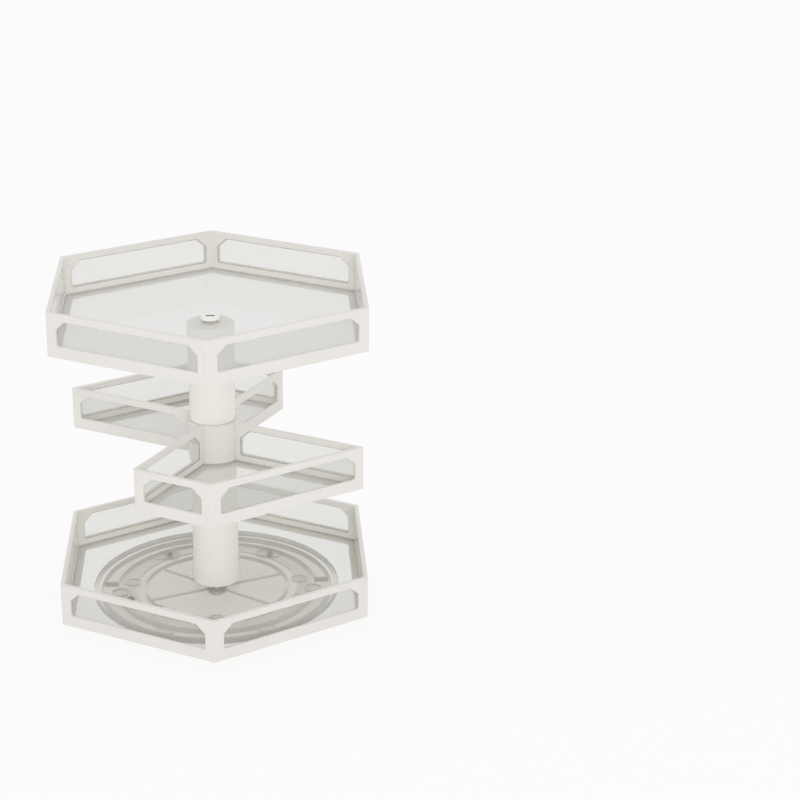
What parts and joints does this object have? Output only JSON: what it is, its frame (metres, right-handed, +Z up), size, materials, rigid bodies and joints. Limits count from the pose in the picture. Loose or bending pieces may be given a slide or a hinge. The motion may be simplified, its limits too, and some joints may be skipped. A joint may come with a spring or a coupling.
{
  "type": "rotating makeup organizer",
  "caption": "Hexagonal tray tower on a turntable: open trays with clear floors and window panels, and quarter trays that swing around the centre column.",
  "frame": {"origin": "on the table, under the centre of the column", "axes": "+Z up along the column; -Y towards the front corner of the hexagons; +X to the right"},
  "size_m": [0.2252, 0.2596, 0.252],
  "materials": {
    "frame_plastic": "white moulded ABS, satin gloss",
    "column_plastic": "off-white moulded ABS, satin gloss",
    "white_plastic": "white moulded plastic",
    "clear_sheet": "clear sheet with a slight grey tint",
    "clear_disc": "clear moulded polystyrene",
    "clear_silicone": "clear silicone",
    "cage_plastic": "natural nylon",
    "ball_steel": "polished bearing steel",
    "plated_steel": "zinc-plated steel"
  },
  "bodies": {
    "base": {"lower_disc": "clear_disc", "rubber_feet": "clear_silicone"},
    "ball_ring": {"ball_cage": "cage_plastic", "bearing_balls": "ball_steel"},
    "carousel": {"upper_disc": "clear_disc", "tray_pads": "clear_silicone", "tie_bolt": "plated_steel", "foot_screws": "plated_steel", "foot_plug": "white_plastic", "lower_tube": "column_plastic", "column_core": "white_plastic", "hub_washers": "cage_plastic", "upper_tube": "column_plastic", "cap_nut": "column_plastic", "bottom_tray_floor": "clear_sheet", "bottom_tray_frame": "frame_plastic", "bottom_tray_windows": "clear_sheet", "top_tray_floor": "clear_sheet", "top_tray_frame": "frame_plastic", "top_tray_windows": "clear_sheet"},
    "front_tray": {"front_tray_frame": "frame_plastic", "front_tray_floor": "clear_sheet", "front_tray_windows": "clear_sheet"},
    "back_tray": {"back_tray_frame": "frame_plastic", "back_tray_floor": "clear_sheet", "back_tray_windows": "clear_sheet"}
  },
  "joints": [
    {"name": "turntable_spin", "type": "hinge", "parent": "base", "child": "carousel", "pos_m": [0, 0, 0.0053], "axis": [0, 0, 1], "continuous": true},
    {"name": "ball_ring_spin", "type": "hinge", "parent": "base", "child": "ball_ring", "pos_m": [0, 0, 0.0053], "axis": [0, 0, 1], "continuous": true},
    {"name": "front_tray_swing", "type": "hinge", "parent": "carousel", "child": "front_tray", "pos_m": [0, 0, 0.12215], "axis": [0, 0, 1], "range_deg": [-42, 42]},
    {"name": "back_tray_swing", "type": "hinge", "parent": "carousel", "child": "back_tray", "pos_m": [0, 0, 0.13785], "axis": [0, 0, 1], "range_deg": [-42, 42]}
  ],
  "couplings": [
    {"joint": "ball_ring_spin", "follows": "turntable_spin", "ratio": 0.5}
  ]
}
